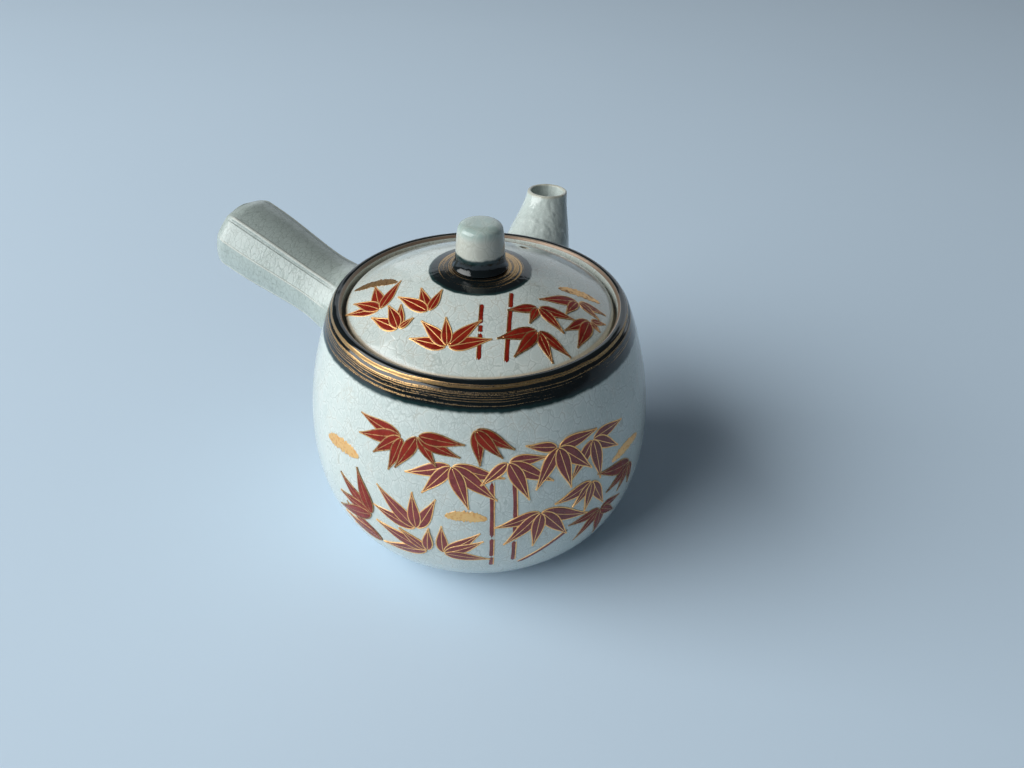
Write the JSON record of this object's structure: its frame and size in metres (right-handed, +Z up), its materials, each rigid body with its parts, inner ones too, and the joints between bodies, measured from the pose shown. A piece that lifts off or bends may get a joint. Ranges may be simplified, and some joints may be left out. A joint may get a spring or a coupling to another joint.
{
  "type": "side-handle teapot",
  "caption": "Glazed stoneware teapot with a hollow faceted side handle, a short spout with a strainer dome, and a lift-off lid seated inside its lip.",
  "frame": {"origin": "middle of the part's footprint in X and Y, on the plane the foot ring stands on", "axes": "+Z up along the thrown pot's own axis; the spout points mostly along +Y and the handle mostly along -X, both rising"},
  "size_m": [0.1416, 0.127, 0.1003],
  "materials": {
    "body_glaze": "gloss crackle glaze, pale celadon white",
    "spout_glaze": "gloss crackle glaze, pale celadon white",
    "handle_glaze": "gloss crackle glaze, pale celadon white",
    "strainer_clay": "thinly glazed stoneware",
    "lid_glaze": "gloss crackle glaze, pale celadon white",
    "knob_glaze": "gloss crackle glaze over a black neck"
  },
  "bodies": {
    "pot": {"pot_body": "body_glaze", "spout": "spout_glaze", "handle": "handle_glaze", "tea_strainer": "strainer_clay"},
    "lid": {"lid": "lid_glaze", "lid_knob": "knob_glaze"}
  },
  "joints": [
    {"name": "lid_lift", "type": "slide", "parent": "pot", "child": "lid", "axis": [0, 0, 1], "range_m": [0, 0.06]}
  ]
}
